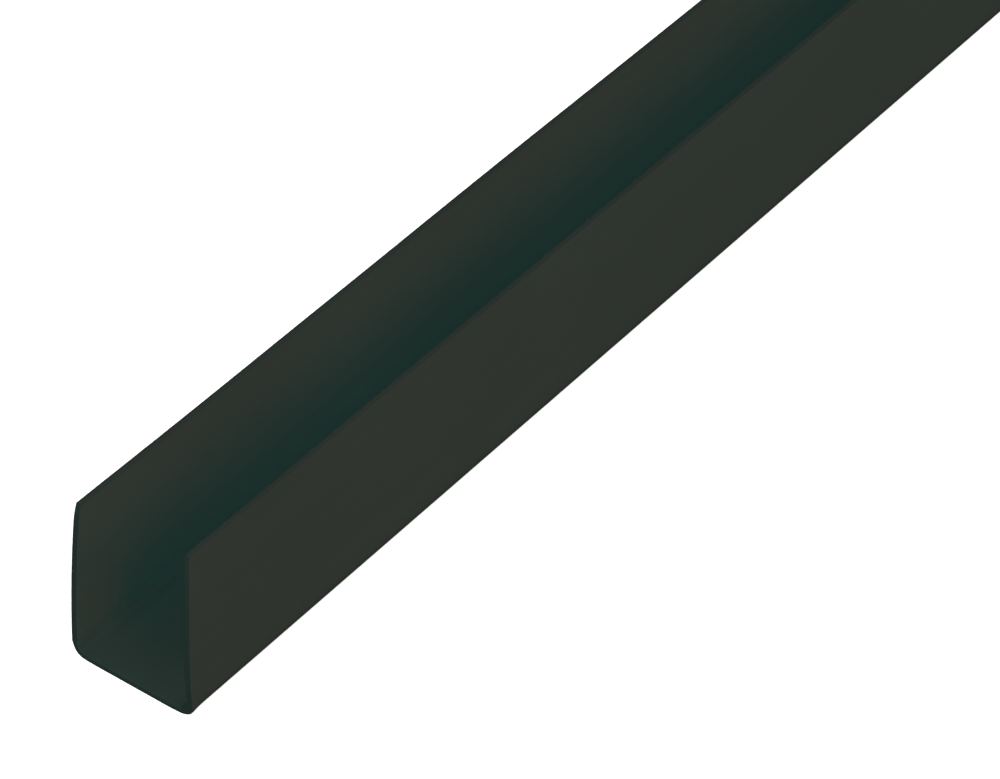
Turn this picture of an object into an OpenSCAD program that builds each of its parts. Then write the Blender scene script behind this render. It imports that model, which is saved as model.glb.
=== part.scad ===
// U-channel, extruded plastic edge stock, lying on its web with its mouth up.
// Millimetres. The length runs along X and the width along Y. The web's underside is at Z = 0,
// and the origin is under the middle of the web.

/* [Stock] */
// Length the stock is cut to
channel_l = 914.4; // [100:0.1:2440]

/* [Section] */
// Overall width across the two flanges, at their feet
outer_w = 19.05; // [12:0.05:40]
// Overall depth, from the underside of the web to the top of the lips
outer_d = 25.4; // [14:0.1:50]
// Wall thickness of the web and of both flanges
wall = 0.8; // [0.5:0.05:1.4]
// Radius of the two outer corners, where the web turns up into the flanges
corner_r = 2.4; // [1.5:0.1:4]
// How far each lip leans in over the foot of its flange
lip_toe_in = 1.13; // [0.3:0.01:2]

/* [Hidden] */

// Facets in a full turn of the small rounds, and of the long arc that bows a flange
$fn = 96;
bow_fn = 1440;

// The lips are rounded off all the way over, at half the wall
lip_r = wall / 2;

// Middle line of the wall: the flange's foot, level with the top of the corner round
foot_y = outer_w / 2 - lip_r;
foot_z = corner_r;

// A flange's middle line is a single arc. It leaves the foot upright and ends at the centre
// of the lip's round, so its rise and its lean settle its radius.
flange_rise = outer_d - lip_r - foot_z;
bow_r = (flange_rise * flange_rise + lip_toe_in * lip_toe_in) / (2 * lip_toe_in);

charcoal = [0.19, 0.21, 0.19];

// A stretch of wall bent to an arc about the origin. Its middle line starts on the +X axis
// and runs anticlockwise to the given end point, less than a half turn away.
module bent_wall(end, fn = $fn) {
    middle_r = norm(end);
    corner = [middle_r + wall, end[1] * (middle_r + wall) / (middle_r + end[0])];
    intersection() {
        difference() {
            circle(r = middle_r + wall / 2, $fn = fn);
            circle(r = middle_r - wall / 2, $fn = fn);
        }
        polygon([[0, 0], [2 * corner[0], 0], 2 * corner, 2 * end]);
    }
}

// The +Y flange with its round lip, drawn with the width across and the depth up
module flange_section() {
    translate([foot_y, foot_z]) {
        translate([-bow_r, 0])
            bent_wall([bow_r - lip_toe_in, flange_rise], bow_fn);
        translate([-lip_toe_in, flange_rise])
            circle(r = lip_r);
    }
}

// The round corner between the web and the +Y flange
module corner_section() {
    translate([outer_w / 2 - corner_r, corner_r])
        mirror([0, 1])
            bent_wall([0, corner_r - lip_r]);
}

module half_section() {
    square([outer_w / 2 - corner_r, wall]);
    corner_section();
    flange_section();
}

// The whole cross-section of the stock, open at the top
module section() {
    half_section();
    mirror([1, 0]) half_section();
}

// The section run along X, centred on its length
module channel() {
    color(charcoal)
        rotate([90, 0, 90])
            linear_extrude(height = channel_l, center = true)
                section();
}

channel();
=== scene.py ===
"""A length of dark plastic U-channel, lying mouth up on a pale studio floor.

Metres, in the part's own frame. The length runs along X and the width along Y, and the web's underside
is at Z = 0. The near end is the one at -X and the near flange the one at -Y, both on the camera's side.
"""

import math

import bpy
import numpy as np
from mathutils import Matrix, Vector


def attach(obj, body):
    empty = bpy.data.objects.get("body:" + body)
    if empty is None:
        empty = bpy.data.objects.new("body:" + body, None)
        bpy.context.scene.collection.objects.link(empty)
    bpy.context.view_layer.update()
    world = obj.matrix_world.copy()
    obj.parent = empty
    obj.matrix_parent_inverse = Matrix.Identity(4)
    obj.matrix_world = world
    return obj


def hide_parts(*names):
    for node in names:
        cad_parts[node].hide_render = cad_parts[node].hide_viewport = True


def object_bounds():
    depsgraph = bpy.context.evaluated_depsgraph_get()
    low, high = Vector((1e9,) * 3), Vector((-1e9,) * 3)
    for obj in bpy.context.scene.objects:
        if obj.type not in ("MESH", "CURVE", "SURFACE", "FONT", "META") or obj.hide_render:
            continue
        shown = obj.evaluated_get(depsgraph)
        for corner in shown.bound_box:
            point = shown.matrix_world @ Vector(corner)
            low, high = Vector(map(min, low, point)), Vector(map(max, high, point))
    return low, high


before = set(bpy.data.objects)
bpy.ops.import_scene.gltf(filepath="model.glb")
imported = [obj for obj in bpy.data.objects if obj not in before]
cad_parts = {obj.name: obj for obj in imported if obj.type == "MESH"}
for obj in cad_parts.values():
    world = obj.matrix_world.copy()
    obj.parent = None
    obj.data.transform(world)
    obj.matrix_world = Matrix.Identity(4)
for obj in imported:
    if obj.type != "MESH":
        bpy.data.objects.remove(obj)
cad_low, cad_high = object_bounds()
MM = 0.001

# The section: its overall sizes come from the frame, and its wall, corner and toe-in repeat the source's
NEAR_END, FAR_END = cad_low.x, cad_high.x
LENGTH = FAR_END - NEAR_END
OUTER_W = cad_high.y - cad_low.y
OUTER_D = cad_high.z - cad_low.z
WALL = 0.8 * MM
CORNER_R = 2.4 * MM
LIP_TOE_IN = 1.13 * MM
LIP_R = WALL / 2
WEB_HALF = OUTER_W / 2 - CORNER_R
FOOT_Y = OUTER_W / 2 - LIP_R
FOOT_Z = CORNER_R
FLANGE_RISE = OUTER_D - LIP_R - FOOT_Z
LIP_Y = FOOT_Y - LIP_TOE_IN
LIP_Z = FOOT_Z + FLANGE_RISE
BOW_R = (FLANGE_RISE**2 + LIP_TOE_IN**2) / (2 * LIP_TOE_IN)

# How finely the section, the cut faces and the length are divided
WEB_STEPS = 8
CORNER_STEPS = 12
FLANGE_STEPS = 26
LIP_STEPS = 8
CUT_STEPS = 6
FIRST_STEP = 0.04 * MM
STEP_GROWTH = 1.5
LONGEST_STEP = 6 * MM

# On the unwrapped map: where the sides end, where each cut face starts, and how wide a cut face is
MAP_SIDES = 0.97
MAP_NEAR_CUT = 0.975
MAP_FAR_CUT = 0.99
MAP_CUT = 0.01

# The sawn ends: their softened arris, the saw's marks, and how far along the stock a crooked cut pulls it
ARRIS_R = 0.07 * MM
SAW_MARK = 0.012 * MM
SAW_SEED = 11
CUT_FADE = 25 * MM

# How far the near end is cut back: at the web, on the far flange, and on the near flange, where the cut
# comes forward to its least at one height and then bows back up to the lip
NEAR_CUT_WEB = 0.37 * MM
NEAR_CUT_FAR_FLANGE = 0.33 * MM
NEAR_CUT_LEAST = 0.02 * MM
NEAR_CUT_LEAST_Z = 6.5 * MM
NEAR_CUT_LIP = 1.65 * MM

# Between which distances from the middle the web's cut turns into the flanges'
FLANGE_CUT_REACH = (5 * MM, 8 * MM)

# The far lip's near corner is rounded off: from what height, and how far back at the top
LIP_CORNER_FROM = 22.6 * MM
LIP_CORNER_BACK = 0.36 * MM

# The far end is cut nearly square: how far back on the far flange
FAR_CUT_BACK = 0.15 * MM

# The near flange closes a little toward the near end
LIP_CLOSING = 0.14 * MM
LIP_CLOSING_LENGTH = 80 * MM

# The far lip isn't quite straight: how far from the near end it bends, how widely, and how far outward
LIP_BENDS = ((2 * MM, 6 * MM, 0.03 * MM), (24 * MM, 14 * MM, -0.06 * MM), (85 * MM, 22 * MM, 0.11 * MM))

# The near outer corner is a little fuller than round, and flares at the cut. Two powers set how it swells
# up from the web and falls again toward the flange, and it is fullest where their curve peaks.
CORNER_FULLER = 0.04 * MM
CORNER_FLARE = 0.13 * MM
CORNER_FLARE_LENGTH = 1.13 * MM
CORNER_SWELL = 6
CORNER_FALL = 3
CORNER_FULLEST = CORNER_SWELL / (CORNER_SWELL + CORNER_FALL)

# The far outer corner has a flat: how deep, and from what share of the turn, up to the flange
CORNER_FLAT = 0.08 * MM
CORNER_FLAT_FROM = 0.5

# The underside lifts a little on both sides just before it turns up into the corners
SHOULDER_AT = 7.25 * MM
SHOULDER_SPREAD = 0.85 * MM
SHOULDER_LIFT = 0.09 * MM

# Colours, linear: the plastic, the teal of painted shade deep inside, and the sawn faces
CHARCOAL = (0.0399, 0.0480, 0.0383)
DEEP_SHADE_TEAL = (0.0168, 0.0480, 0.0409)
# The sawn faces' colour is painted shade: darker than the sides and teal like the shade inside
CUT_SHADE_COLOUR = (0.0084, 0.0185, 0.0148)

# Between which distances from an open end the inside's painted light and shade turn from their looks there
# to those well inside
END_REACH = (4 * MM, 12.5 * MM)

# Painted light and shade, as factors on the plastic's colour: outside the flanges from foot to lip, lighter
# low and darker high; inside the flanges from foot to lip, painted light; inside the web, painted shade; and
# on the near lip from its inner to its outer side and on the far lip, painted shade that dims their
# highlights
PAINTED_SHADING_OUTSIDE = (1.04, 0.92)
PAINTED_SHADING_FLANGE = (1.32, 1.38)
PAINTED_SHADING_WEB = 0.615
PAINTED_SHADING_NEAR_LIP = (0.58, 0.36)
PAINTED_SHADING_FAR_LIP = 0.41

# Painted shade along the inner corner: its darkest line and its spread, in degrees up from the web, and how
# much darker it is painted at the open ends and well inside
FILLET_AT = 24
FILLET_SPREAD = 22
FILLET_PAINTED_SHADE = (0.12, 0.19)

# Heights where the web's painted light and shade turn into the flange's, and a flange's into its lip's,
# inside and outside
PAINTED_SHADING_TURN = (1.35 * MM, 2.85 * MM)
LIP_TURN_INSIDE = (24.87 * MM, 25.25 * MM)
LIP_TURN_OUTSIDE = (25.0 * MM, 25.28 * MM)

# Going in from the near end, the painted light and shade and the outside's teal painted shade grow over this
# length: how much painted light the inside gets at the foot, and the outside
GAIN_OVER = 120 * MM
GAIN_INSIDE = 0.11
GAIN_OUTSIDE = 0.04

# Painted light inside at the foot by the open ends: how much lighter, and the power by which that fades with
# height
GAIN_AT_END = 0.09
GAIN_AT_END_FADE = 4

# How much of the teal of painted shade the plastic takes. Inside a flange it starts at the first height and
# is full at the second, down where the shade is deepest. Pairs are at the open ends and well inside. Well
# inside, the web has more toward the far corner, and the open ends have a band across the flanges: its
# height, its spread and its teal.
TEAL_HEIGHTS = (23 * MM, 4 * MM)
TEAL_FLANGE = (0.2, 1.0)
TEAL_WEB = (0.6, 0.85)
TEAL_FAR_CORNER = 0.15
TEAL_FAR_CORNER_REACH = (4 * MM, 7 * MM)
TEAL_BAND = (15 * MM, 5 * MM, 0.2)
TEAL_LIP = 0.3
TEAL_OUTSIDE = 0.08

# The plastic's textures, by how many waves go to the metre: the die's lines, along and around the stock,
# mottling, grain, and the saw's marks, across and up a cut face. An offset keeps broad lines off fine ones.
FINE_LINES = (9.0, 2600.0)
BROAD_LINES = (4.0, 260.0)
BROAD_OFFSET = 3.0
MOTTLING = 45.0
GRAIN = 5200.0
SAW_LINES = (900.0, 7000.0)

# Each texture's noise: its detail and its roughness
FINE_NOISE = (3.0, 0.6)
BROAD_NOISE = (2.0, 0.5)
MOTTLING_NOISE = (3.0, 0.5)
GRAIN_NOISE = (2.0, 0.5)
SAW_NOISE = (3.0, 0.7)

# What the textures do to the colour, the roughness and the height
BROAD_SHADE = 0.10
MOTTLING_SHADE = 0.10
ROUGHNESS = 0.44
FINE_ROUGHNESS = 0.10
MOTTLING_ROUGHNESS = 0.08
CUT_ROUGHNESS = 0.2
FINE_HEIGHT = 0.6
GRAIN_HEIGHT = 0.25
SAW_HEIGHT = 3.0
BUMP_STRENGTH = 0.35
BUMP_DISTANCE = 0.02 * MM
PLASTIC_IOR = 1.5
PLASTIC_SPECULAR = 0.25

# The floor: flat out to a radius, then bent up into a wall all round. It glows a little, to stay pale.
FLOOR_MIDDLE_R = 1.0
FLOOR_R = 9.0
FLOOR_BEND_R = 3.0
FLOOR_BEND_STEPS = 12
FLOOR_WALL = 5.0
FLOOR_SIDES = 96
FLOOR_GREY = (0.6, 0.6, 0.6, 1)
FLOOR_ROUGHNESS = 0.9
FLOOR_SPECULAR = 0.1
FLOOR_GLOW = 0.8

# The lights: which way each stands from what it lights, its width, its power, and if it shows in gloss
WHITE = (1, 1, 1, 1)
WORLD_STRENGTH = 0.06
LIGHT_AIM = Vector((-0.2, 0, 0))
LIGHT_DISTANCE = 3.0
LIGHTS = (
    ("key", (-0.62, -0.32, 0.716), 0.8, 76, True),
    ("side", (0.0, -0.68, 0.733), 2.6, 32, True),
    ("front", (-0.97, -0.1, 0.2), 1.2, 38, False),
    ("back", (-0.35, 0.90, 0.25), 2.4, 38, False),
)

# The camera stands where the photograph was taken from. Angles in degrees, lens and sensor in millimetres.
CAMERA_AT = Vector((-0.779843, -0.277077, 0.410565))
CAMERA_AZIMUTH = -55.198
CAMERA_ELEVATION = 40.416
CAMERA_ROLL = 2.491
CAMERA_LENS = 173.985
CAMERA_SENSOR = 36
CAMERA_REACH = (0.01, 100)


def ramp(value, start, stop):
    """A straight run from 0 at start to 1 at stop, level on both sides of it."""
    return np.clip((value - start) / (stop - start), 0, 1)


def between(value, start, stop):
    """The same run with soft ends."""
    share = ramp(value, start, stop)
    return share * share * (3 - 2 * share)


def bell(value, middle, spread):
    """1 at the middle, falling off softly on both sides."""
    return np.exp(-(((value - middle) / spread) ** 2))


def blend(pair, share):
    """The pair's first value at share 0, its second at share 1, and between them in proportion."""
    return pair[0] + (pair[1] - pair[0]) * share


def arc(centre, radius, turns):
    """Points about a centre, turned from +Y toward +Z."""
    return np.stack([centre[0] + radius * np.cos(turns), centre[1] + radius * np.sin(turns)], -1)


def half_section():
    """Pairs of points, outside and inside the wall, from the web's middle up to the tip of the far lip."""
    quarter = math.pi / 2
    lean = math.asin(FLANGE_RISE / BOW_R)
    web = np.linspace(0, WEB_HALF, WEB_STEPS, endpoint=False)
    corner = np.linspace(-quarter, 0, CORNER_STEPS, endpoint=False)
    flange = np.linspace(0, lean, FLANGE_STEPS, endpoint=False)
    lip = np.linspace(0, quarter, LIP_STEPS + 1)
    corner_at, bow_at, lip_at = (WEB_HALF, CORNER_R), (FOOT_Y - BOW_R, FOOT_Z), (LIP_Y, LIP_Z)
    outer = [
        np.stack([web, np.zeros(WEB_STEPS)], -1),
        arc(corner_at, CORNER_R, corner),
        arc(bow_at, BOW_R + LIP_R, flange),
        arc(lip_at, LIP_R, lean + lip),
    ]
    inner = [
        np.stack([web, np.full(WEB_STEPS, WALL)], -1),
        arc(corner_at, CORNER_R - WALL, corner),
        arc(bow_at, BOW_R - LIP_R, flange),
        arc(lip_at, LIP_R, lean + math.pi - lip),
    ]
    return np.vstack(outer), np.vstack(inner)


def whole_section():
    """The same pairs from the near lip's tip, down and under, up to the far lip's tip."""
    outer, inner = half_section()
    flip = np.array([-1, 1])
    return np.vstack([outer[:0:-1] * flip, outer]), np.vstack([inner[:0:-1] * flip, inner])


def stations():
    """Places along the stock, from one arris to the other, closest together at the ends."""
    head, reach, step = [], 0.0, FIRST_STEP
    while step < LONGEST_STEP:
        head.append(reach)
        reach += step
        step *= STEP_GROWTH
    head = np.array(head)
    run = LENGTH - 2 * ARRIS_R
    middle = np.linspace(reach, run - reach, round((run - 2 * reach) / LONGEST_STEP) + 1)
    return NEAR_END + ARRIS_R + np.concatenate([head, middle, run - head[::-1]])


def sway(x, y, z):
    """How far the flanges stand off the drawn section toward +Y, most at their lips."""
    near = LIP_CLOSING * np.exp((NEAR_END - x) / LIP_CLOSING_LENGTH)
    far = sum(out * bell(x - NEAR_END, at, spread) for at, spread, out in LIP_BENDS)
    return ramp(z, FOOT_Z, LIP_Z) ** 2 * np.where(y < 0, near, far)


def off_round(x, y, z):
    """How far the outer corners stand off the drawn round, across and up."""
    across = np.maximum(abs(y) - WEB_HALF, 0)
    down = np.maximum(CORNER_R - z, 0)
    on_outside = ramp(np.hypot(across, down), CORNER_R - WALL, CORNER_R)
    turn = np.arctan2(across, down)
    share = turn / (math.pi / 2)
    rise = (share / CORNER_FULLEST) ** CORNER_SWELL
    fall = ((1 - share) / (1 - CORNER_FULLEST)) ** CORNER_FALL
    fuller = (CORNER_FULLER + CORNER_FLARE * bell(x, NEAR_END, CORNER_FLARE_LENGTH)) * rise * fall
    flat = CORNER_FLAT * np.sin(math.pi * ramp(share, CORNER_FLAT_FROM, 1)) ** 2
    push = on_outside * np.where(y < 0, fuller, -flat)
    lift = on_outside * SHOULDER_LIFT * bell(abs(y), SHOULDER_AT, SHOULDER_SPREAD)
    return np.sign(y) * push * np.sin(turn), lift - push * np.cos(turn)


def near_cut(y, z):
    """How far the near end is cut back across the web and up the flanges."""
    forward = (NEAR_CUT_LEAST - NEAR_CUT_WEB) * between(z, 0, NEAR_CUT_LEAST_Z)
    bow = (NEAR_CUT_LIP - NEAR_CUT_LEAST) * ramp(z, NEAR_CUT_LEAST_Z, OUTER_D) ** 2
    lip_corner = LIP_CORNER_BACK * ramp(z, LIP_CORNER_FROM, OUTER_D) ** 2
    near_flange = between(-y, *FLANGE_CUT_REACH) * (forward + bow)
    far_flange = between(y, *FLANGE_CUT_REACH) * (NEAR_CUT_FAR_FLANGE - NEAR_CUT_WEB + lip_corner)
    return NEAR_CUT_WEB + near_flange + far_flange


def far_cut(y):
    """How far the far end is cut back: not at all on the near flange, and most on the far one."""
    return FAR_CUT_BACK * ramp(y, -OUTER_W / 2, OUTER_W / 2)


def place(x, y, z):
    """Points of the stock, from where they are on straight, square-cut stock of the drawn section."""
    from_near = near_cut(y, z) * ramp(x, NEAR_END + CUT_FADE, NEAR_END)
    from_far = far_cut(y) * ramp(x, FAR_END - CUT_FADE, FAR_END)
    across, up = off_round(x, y, z)
    return np.stack([x + from_near - from_far, y + sway(x, y, z) + across, z + up], -1)


def near_the_ends(x):
    """1 at the open ends and 0 well inside."""
    return 1 - between(np.minimum(x - NEAR_END, FAR_END - x), *END_REACH)


def lip_share(z, is_inside):
    """0 below the lips' rounds and 1 on their crowns."""
    return np.where(is_inside, between(z, *LIP_TURN_INSIDE), between(z, *LIP_TURN_OUTSIDE))


def teal_at(x, y, z, is_inside):
    """How much teal painted shade the plastic takes: hardly outside, a little on the lips, most inside and
    away from the ends.
    """
    at_ends = near_the_ends(x)
    within = 1 - at_ends
    band_at, band_spread, band_teal = TEAL_BAND
    band = band_teal * bell(z, band_at, band_spread)
    flange = ramp(z, *TEAL_HEIGHTS) * blend(TEAL_FLANGE, within) + at_ends * band
    web = blend(TEAL_WEB, within) + TEAL_FAR_CORNER * within * between(y, *TEAL_FAR_CORNER_REACH)
    inside = blend((web, flange), between(z, WALL, WALL + CORNER_R))
    outside = TEAL_OUTSIDE * between(x, NEAR_END, NEAR_END + GAIN_OVER)
    return blend((np.where(is_inside, inside, outside), TEAL_LIP), lip_share(z, is_inside))


def tone_at(x, y, z, is_inside):
    """The painted light and shade, as a factor on the colour: outside, on the lips, inside the flanges and
    inside the web.
    """
    up = ramp(z, 0, OUTER_D)
    along = between(x, NEAR_END, NEAR_END + GAIN_OVER)
    at_ends = near_the_ends(x)
    turn = np.degrees(np.arctan2(abs(y) - WEB_HALF, CORNER_R - z))
    inside = blend((PAINTED_SHADING_WEB, blend(PAINTED_SHADING_FLANGE, up)), between(z, *PAINTED_SHADING_TURN))
    # Painted shade along the inner corner, where the lamps would light a band
    inside = inside - blend(FILLET_PAINTED_SHADE, 1 - at_ends) * bell(turn, FILLET_AT, FILLET_SPREAD)
    # Painted light going in from the near end, and at the foot by the open ends
    gain = GAIN_INSIDE * along * (1 - up) + GAIN_AT_END * at_ends * (1 - up) ** GAIN_AT_END_FADE
    outside = blend(PAINTED_SHADING_OUTSIDE, up) * (1 + GAIN_OUTSIDE * along)
    # Painted shade on the lips, dimming their highlights
    near_lip = blend(PAINTED_SHADING_NEAR_LIP, ramp(abs(y), LIP_Y - LIP_R, LIP_Y + LIP_R))
    lip = np.where(y < 0, near_lip, PAINTED_SHADING_FAR_LIP)
    return blend((np.where(is_inside, inside * (1 + gain), outside), lip), lip_share(z, is_inside))


class Skin:
    """A mesh as it grows: its points, what the material reads at them, its faces and its map."""

    def __init__(self):
        self.points, self.faces, self.map_places = [], [], []
        # What the material reads: the distance around, the teal of painted shade, the factor of painted
        # light and shade, and where it is cut
        self.reads = {"around": [], "teal": [], "tone": [], "cut": []}

    def add(self, points, **values):
        """Adds points, with each thing that the material reads as one value or one a point."""
        first = len(self.points)
        self.points += [tuple(point) for point in points]
        for label, gathered in self.reads.items():
            gathered += list(np.broadcast_to(values[label], len(points)))
        return np.arange(first, first + len(points))

    def face(self, corners):
        """Adds a face from pairs of a point's number and its place on the unwrapped map."""
        self.faces.append(tuple(int(number) for number, map_place in corners))
        self.map_places += [map_place for number, map_place in corners]


def closed_ring(there, back):
    """There along one line of the section and back along the other, whose two ends are left out."""
    return np.vstack([there, back[-2:0:-1]])


class Stock(Skin):
    """The whole stock as one closed skin: rings along the length, and the sawn wall at each end."""

    def __init__(self):
        super().__init__()
        outer, inner = whole_section()
        middle = (outer + inner) / 2
        middle[[0, -1]] = (-LIP_Y, LIP_Z), (LIP_Y, LIP_Z)
        self.tip = len(outer) - 1
        self.ring = closed_ring(outer, inner)
        self.ring_middle = closed_ring(middle, middle)
        self.is_inside = np.arange(len(self.ring)) > self.tip
        steps = np.linalg.norm(np.diff(self.ring, axis=0, append=self.ring[:1]), axis=1)
        self.around = np.concatenate([[0], np.cumsum(steps)[:-1]])
        self.way_round = np.append(self.around / steps.sum(), 1.0)
        self.rings, self.map_runs = [], []

    def add_ring(self, x, inset, cut):
        """Adds the section at x, drawn in toward the middle of the wall. Cut plastic gets no painted light
        or shade: its factor is 1.
        """
        y, z = (self.ring + (self.ring_middle - self.ring) * (inset / LIP_R)).T
        points = place(np.full(len(y), x), y, z)
        where = (x, *self.ring.T, self.is_inside)
        tone = blend((tone_at(*where), 1.0), cut)
        self.rings.append(self.add(points, around=self.around, teal=teal_at(*where), tone=tone, cut=cut))
        self.map_runs.append((x - NEAR_END) / LENGTH * MAP_SIDES)

    def join_rings(self):
        """Adds the faces of the sides, from each ring to the next."""
        for ring, (left, right) in enumerate(zip(self.rings[:-1], self.rings[1:])):
            start, stop = self.map_runs[ring], self.map_runs[ring + 1]
            for k in range(len(left)):
                after = (k + 1) % len(left)
                low, high = self.way_round[k], self.way_round[k + 1]
                left_side = (left[k], (start, low)), (left[after], (start, high))
                right_side = (right[after], (stop, high)), (right[k], (stop, low))
                self.face(left_side + right_side)

    def close_end(self, ring, into, map_at, rng):
        """Adds the sawn wall at one end, from which X leads into the stock at +1 or at -1."""
        shares = np.linspace(0, 1, CUT_STEPS + 1)[1:-1, None]
        columns = [[ring[0]] * (CUT_STEPS + 1)]
        for k in range(1, self.tip):
            outside, inside = ring[k], ring[len(ring) - k]
            line = np.array(self.points[outside]) * (1 - shares) + np.array(self.points[inside]) * shares
            line[:, 0] += into * SAW_MARK * rng.random(len(line))
            # The sawn face takes no teal and a painted shading factor of 1; its painted shade is in its own
            # colour
            sawn = self.add(line, around=self.around[k], teal=0.0, tone=1.0, cut=1.0)
            columns.append([outside, *sawn, inside])
        columns.append([ring[self.tip]] * (CUT_STEPS + 1))

        map_runs = [map_at + MAP_CUT * k / CUT_STEPS for k in range(CUT_STEPS + 1)]
        heights = self.way_round / self.way_round[self.tip]
        for column, (left, right) in enumerate(zip(columns[:-1], columns[1:])):
            low, high = heights[column], heights[column + 1]
            for k in range(CUT_STEPS):
                start, stop = map_runs[k], map_runs[k + 1]
                corners = [(left[k], (start, low)), (right[k], (start, high))]
                if right[k] != right[k + 1]:
                    corners.append((right[k + 1], (stop, high)))
                if left[k] != left[k + 1]:
                    corners.append((left[k + 1], (stop, low)))
                self.face(corners if into < 0 else corners[::-1])


def build_channel():
    """The stock from end to end, with each arris turned in two steps."""
    stock = Stock()
    half_turned = ARRIS_R * (1 - math.cos(math.pi / 4))
    stock.add_ring(NEAR_END, ARRIS_R, 1.0)
    stock.add_ring(NEAR_END + half_turned, half_turned, 1.0)
    for x in stations():
        stock.add_ring(x, 0.0, 0.0)
    stock.add_ring(FAR_END - half_turned, half_turned, 1.0)
    stock.add_ring(FAR_END, ARRIS_R, 1.0)
    stock.join_rings()
    rng = np.random.default_rng(SAW_SEED)
    stock.close_end(stock.rings[0], 1, MAP_NEAR_CUT, rng)
    stock.close_end(stock.rings[-1], -1, MAP_FAR_CUT, rng)
    return stock


def add_object(name, data):
    """Puts new data into the scene under a name."""
    made = bpy.data.objects.new(name, data)
    bpy.context.scene.collection.objects.link(made)
    return made


def add_mesh(name, points, faces, material):
    """A smooth-shaded mesh of one material, as an object in the scene."""
    mesh = bpy.data.meshes.new(name)
    mesh.from_pydata(points, [], faces)
    mesh.shade_smooth()
    mesh.materials.append(material)
    return add_object(name, mesh)


def make_object(name, skin, material):
    """The object of a skin, with what the material reads and with its unwrapped map."""
    made = add_mesh(name, skin.points, skin.faces, material)
    for label, values in skin.reads.items():
        layer = made.data.attributes.new(label, "FLOAT", "POINT")
        layer.data.foreach_set("value", np.array(values, np.float32))
    unwrapped = made.data.uv_layers.new(name="OFBake")
    unwrapped.uv.foreach_set("vector", np.array(skin.map_places, np.float32).ravel())
    return made


class Nodes:
    """A new material, and short ways to add to its node tree."""

    # A Mix node's colour sockets share their names with its number sockets, so they go by their places
    MIX_FACTOR, MIX_A, MIX_B, MIX_RESULT = 0, 6, 7, 2

    def __init__(self, name):
        self.material = bpy.data.materials.new(name)
        self.material.use_nodes = True
        self.tree = self.material.node_tree
        self.shader = self.tree.nodes["Principled BSDF"]

    def feed(self, socket, value):
        """Links a socket to another, or sets it to a number or a colour."""
        if isinstance(value, bpy.types.NodeSocket):
            self.tree.links.new(value, socket)
        else:
            socket.default_value = value

    def add(self, kind, settings=None, **inputs):
        """Adds a node with its settings, and feeds its inputs by name."""
        made = self.tree.nodes.new(kind)
        for label, value in (settings or {}).items():
            setattr(made, label, value)
        for label, value in inputs.items():
            self.feed(made.inputs[label], value)
        return made

    def read(self, name):
        """What the mesh holds under this name."""
        return self.add("ShaderNodeAttribute", {"attribute_name": name}).outputs["Fac"]

    def maths(self, operation, a, b=0.0, c=0.0):
        """One step of arithmetic."""
        made = self.add("ShaderNodeMath", {"operation": operation})
        for socket, value in zip(made.inputs, (a, b, c)):
            self.feed(socket, value)
        return made.outputs[0]

    def combine(self, x, y, z):
        """A vector from its three parts."""
        made = self.add("ShaderNodeCombineXYZ")
        for socket, value in zip(made.inputs, (x, y, z)):
            self.feed(socket, value)
        return made.outputs[0]

    def scaled(self, vector, scale):
        """A vector times a number."""
        made = self.add("ShaderNodeVectorMath", {"operation": "SCALE"}, Vector=vector, Scale=scale)
        return made.outputs[0]

    def noise(self, vector, detail, roughness):
        """Noise from 0 to 1, about one wave to each unit of the vector."""
        settings = {"Vector": vector, "Scale": 1.0, "Detail": detail, "Roughness": roughness}
        return self.add("ShaderNodeTexNoise", **settings).outputs["Fac"]

    def mix(self, factor, a, b, mode="MIX"):
        """Two colours mixed."""
        made = self.add("ShaderNodeMix", {"data_type": "RGBA", "blend_type": mode})
        for number, value in ((self.MIX_FACTOR, factor), (self.MIX_A, a), (self.MIX_B, b)):
            self.feed(made.inputs[number], value)
        return made.outputs[self.MIX_RESULT]


def die_lines(n, x, around, waves, offset):
    """Where noise is read to draw lines along the stock, by its waves to the metre along and around."""
    return n.combine(n.maths("MULTIPLY", x, waves[0]), n.maths("MULTIPLY", around, waves[1]), offset)


def saw_lines(n, y, z, waves):
    """Where noise is read to draw the saw's marks, by its waves to the metre across and up."""
    return n.combine(0.0, n.maths("MULTIPLY", y, waves[0]), n.maths("MULTIPLY", z, waves[1]))


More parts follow.
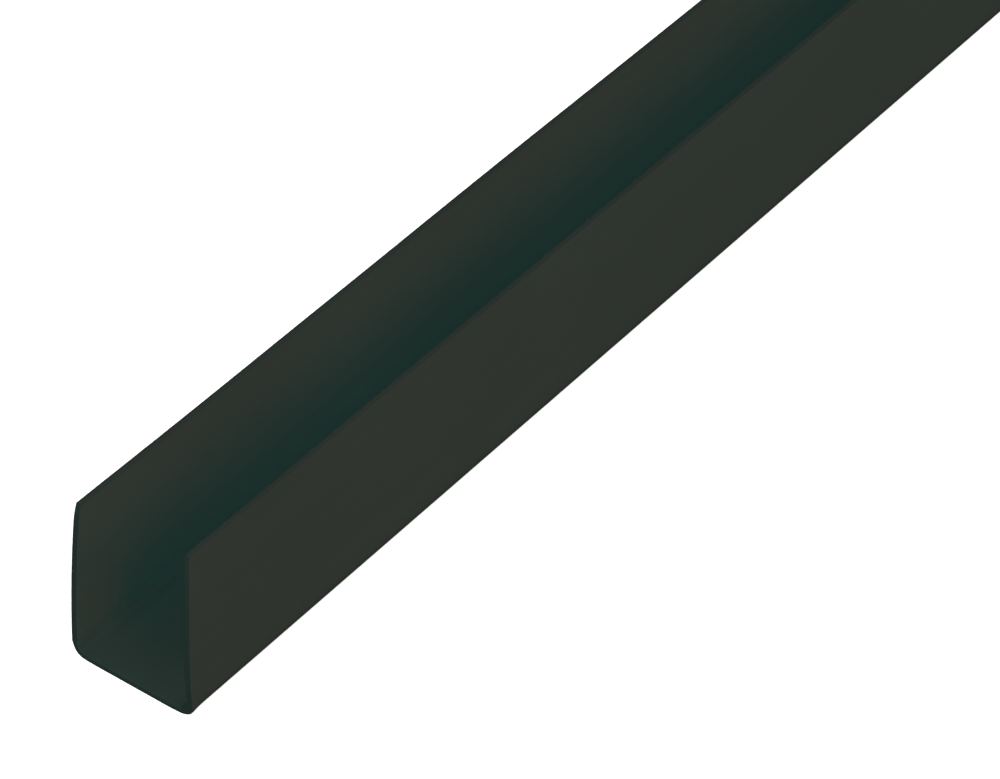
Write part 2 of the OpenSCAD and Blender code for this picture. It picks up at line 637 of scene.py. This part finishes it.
def plastic():
    """Smooth extruded plastic with lines from the die, mottling and grain, and saw marks where it is cut.
    Its colour also carries painted light and shade and a teal painted shade, read from the mesh.
    """
    n = Nodes("channel_plastic")
    position = n.add("ShaderNodeTexCoord").outputs["Object"]
    x, y, z = n.add("ShaderNodeSeparateXYZ", Vector=position).outputs
    around, cut = n.read("around"), n.read("cut")
    fine = n.noise(die_lines(n, x, around, FINE_LINES, 0.0), *FINE_NOISE)
    broad = n.noise(die_lines(n, x, around, BROAD_LINES, BROAD_OFFSET), *BROAD_NOISE)
    mottling = n.noise(n.scaled(position, MOTTLING), *MOTTLING_NOISE)
    grain = n.noise(n.scaled(position, GRAIN), *GRAIN_NOISE)
    saw = n.noise(saw_lines(n, y, z, SAW_LINES), *SAW_NOISE)

    # The teal of painted shade, mixed in where the mesh says
    colour = n.mix(n.read("teal"), (*CHARCOAL, 1), (*DEEP_SHADE_TEAL, 1))
    # Sawn faces take their colour of painted shade
    colour = n.mix(cut, colour, (*CUT_SHADE_COLOUR, 1))
    darkest = 1 - (BROAD_SHADE + MOTTLING_SHADE) / 2
    change = n.maths("MULTIPLY_ADD", broad, BROAD_SHADE, darkest)
    change = n.maths("ADD", change, n.maths("MULTIPLY", mottling, MOTTLING_SHADE))
    # The painted light and shade scale the colour
    change = n.maths("MULTIPLY", change, n.read("tone"))
    colour = n.mix(1.0, colour, n.combine(change, change, change), "MULTIPLY")
    n.feed(n.shader.inputs["Base Color"], colour)

    rough = n.maths("MULTIPLY_ADD", fine, FINE_ROUGHNESS, ROUGHNESS)
    rough = n.maths("MULTIPLY_ADD", mottling, MOTTLING_ROUGHNESS, rough)
    rough = n.maths("MULTIPLY_ADD", cut, CUT_ROUGHNESS, rough)
    n.feed(n.shader.inputs["Roughness"], rough)
    n.shader.inputs["IOR"].default_value = PLASTIC_IOR
    n.shader.inputs["Specular IOR Level"].default_value = PLASTIC_SPECULAR

    height = n.maths("MULTIPLY_ADD", fine, FINE_HEIGHT, n.maths("MULTIPLY", grain, GRAIN_HEIGHT))
    height = n.maths("ADD", height, n.maths("MULTIPLY", n.maths("MULTIPLY", saw, cut), SAW_HEIGHT))
    bump = n.add("ShaderNodeBump", Strength=BUMP_STRENGTH, Distance=BUMP_DISTANCE, Height=height)
    n.feed(n.shader.inputs["Normal"], bump.outputs[0])
    return n.material


def floor_paint():
    """Matt pale paint that glows a little."""
    n = Nodes("floor_paint")
    n.shader.inputs["Base Color"].default_value = FLOOR_GREY
    n.shader.inputs["Roughness"].default_value = FLOOR_ROUGHNESS
    n.shader.inputs["Specular IOR Level"].default_value = FLOOR_SPECULAR
    n.shader.inputs["Emission Color"].default_value = WHITE
    n.shader.inputs["Emission Strength"].default_value = FLOOR_GLOW
    return n.material


def make_floor():
    """A round floor that sweeps up into a wall, all one surface turned about Z."""
    line = [(FLOOR_MIDDLE_R, 0.0), (FLOOR_R, 0.0)]
    for k in range(1, FLOOR_BEND_STEPS + 1):
        turn = math.pi / 2 * k / FLOOR_BEND_STEPS
        line.append((FLOOR_R + FLOOR_BEND_R * math.sin(turn), FLOOR_BEND_R * (1 - math.cos(turn))))
    line.append((FLOOR_R + FLOOR_BEND_R, FLOOR_BEND_R + FLOOR_WALL))
    points = [(0.0, 0.0, 0.0)]
    for radius, z in line:
        for k in range(FLOOR_SIDES):
            turn = 2 * math.pi * k / FLOOR_SIDES
            points.append((radius * math.cos(turn), radius * math.sin(turn), z))
    faces = [(0, 1 + k, 1 + (k + 1) % FLOOR_SIDES) for k in range(FLOOR_SIDES)]
    for band in range(len(line) - 1):
        low = 1 + band * FLOOR_SIDES
        high = low + FLOOR_SIDES
        for k in range(FLOOR_SIDES):
            after = (k + 1) % FLOOR_SIDES
            faces.append((low + k, high + k, high + after, low + after))
    floor = add_mesh("floor", points, faces, floor_paint())
    floor.visible_diffuse = False
    floor.visible_glossy = False
    return floor


def add_light(name, toward, width, power, shows_in_gloss):
    """A round lamp that stands off the stock in one direction and faces it."""
    data = bpy.data.lights.new(name, "AREA")
    data.shape = "DISK"
    data.size = width
    data.energy = power
    light = add_object(name, data)
    light.location = LIGHT_AIM + LIGHT_DISTANCE * Vector(toward)
    light.rotation_mode = "QUATERNION"
    light.rotation_quaternion = (LIGHT_AIM - light.location).to_track_quat("-Z", "Y")
    light.visible_camera = False
    light.visible_glossy = shows_in_gloss


def light_the_scene():
    """Soft studio light from round lamps and a faint white world."""
    world = bpy.data.worlds.new("studio")
    world.use_nodes = True
    background = world.node_tree.nodes["Background"]
    background.inputs["Color"].default_value = WHITE
    background.inputs["Strength"].default_value = WORLD_STRENGTH
    bpy.context.scene.world = world
    for light in LIGHTS:
        add_light(*light)


def make_camera():
    """The camera at the photograph's place and angle."""
    data = bpy.data.cameras.new("camera")
    data.sensor_width = CAMERA_SENSOR
    data.lens = CAMERA_LENS
    data.clip_start, data.clip_end = CAMERA_REACH
    camera = add_object("camera", data)
    turn = Matrix.Rotation(math.radians(CAMERA_AZIMUTH), 4, "Z")
    tip = Matrix.Rotation(math.radians(90 - CAMERA_ELEVATION), 4, "X")
    roll = Matrix.Rotation(math.radians(CAMERA_ROLL), 4, "Z")
    camera.matrix_world = Matrix.Translation(CAMERA_AT) @ turn @ tip @ roll
    bpy.context.scene.camera = camera


channel = make_object("u_channel", build_channel(), plastic())
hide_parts("channel")
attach(channel, "root")

make_floor()
light_the_scene()
make_camera()
bpy.context.scene.view_settings.view_transform = "Standard"
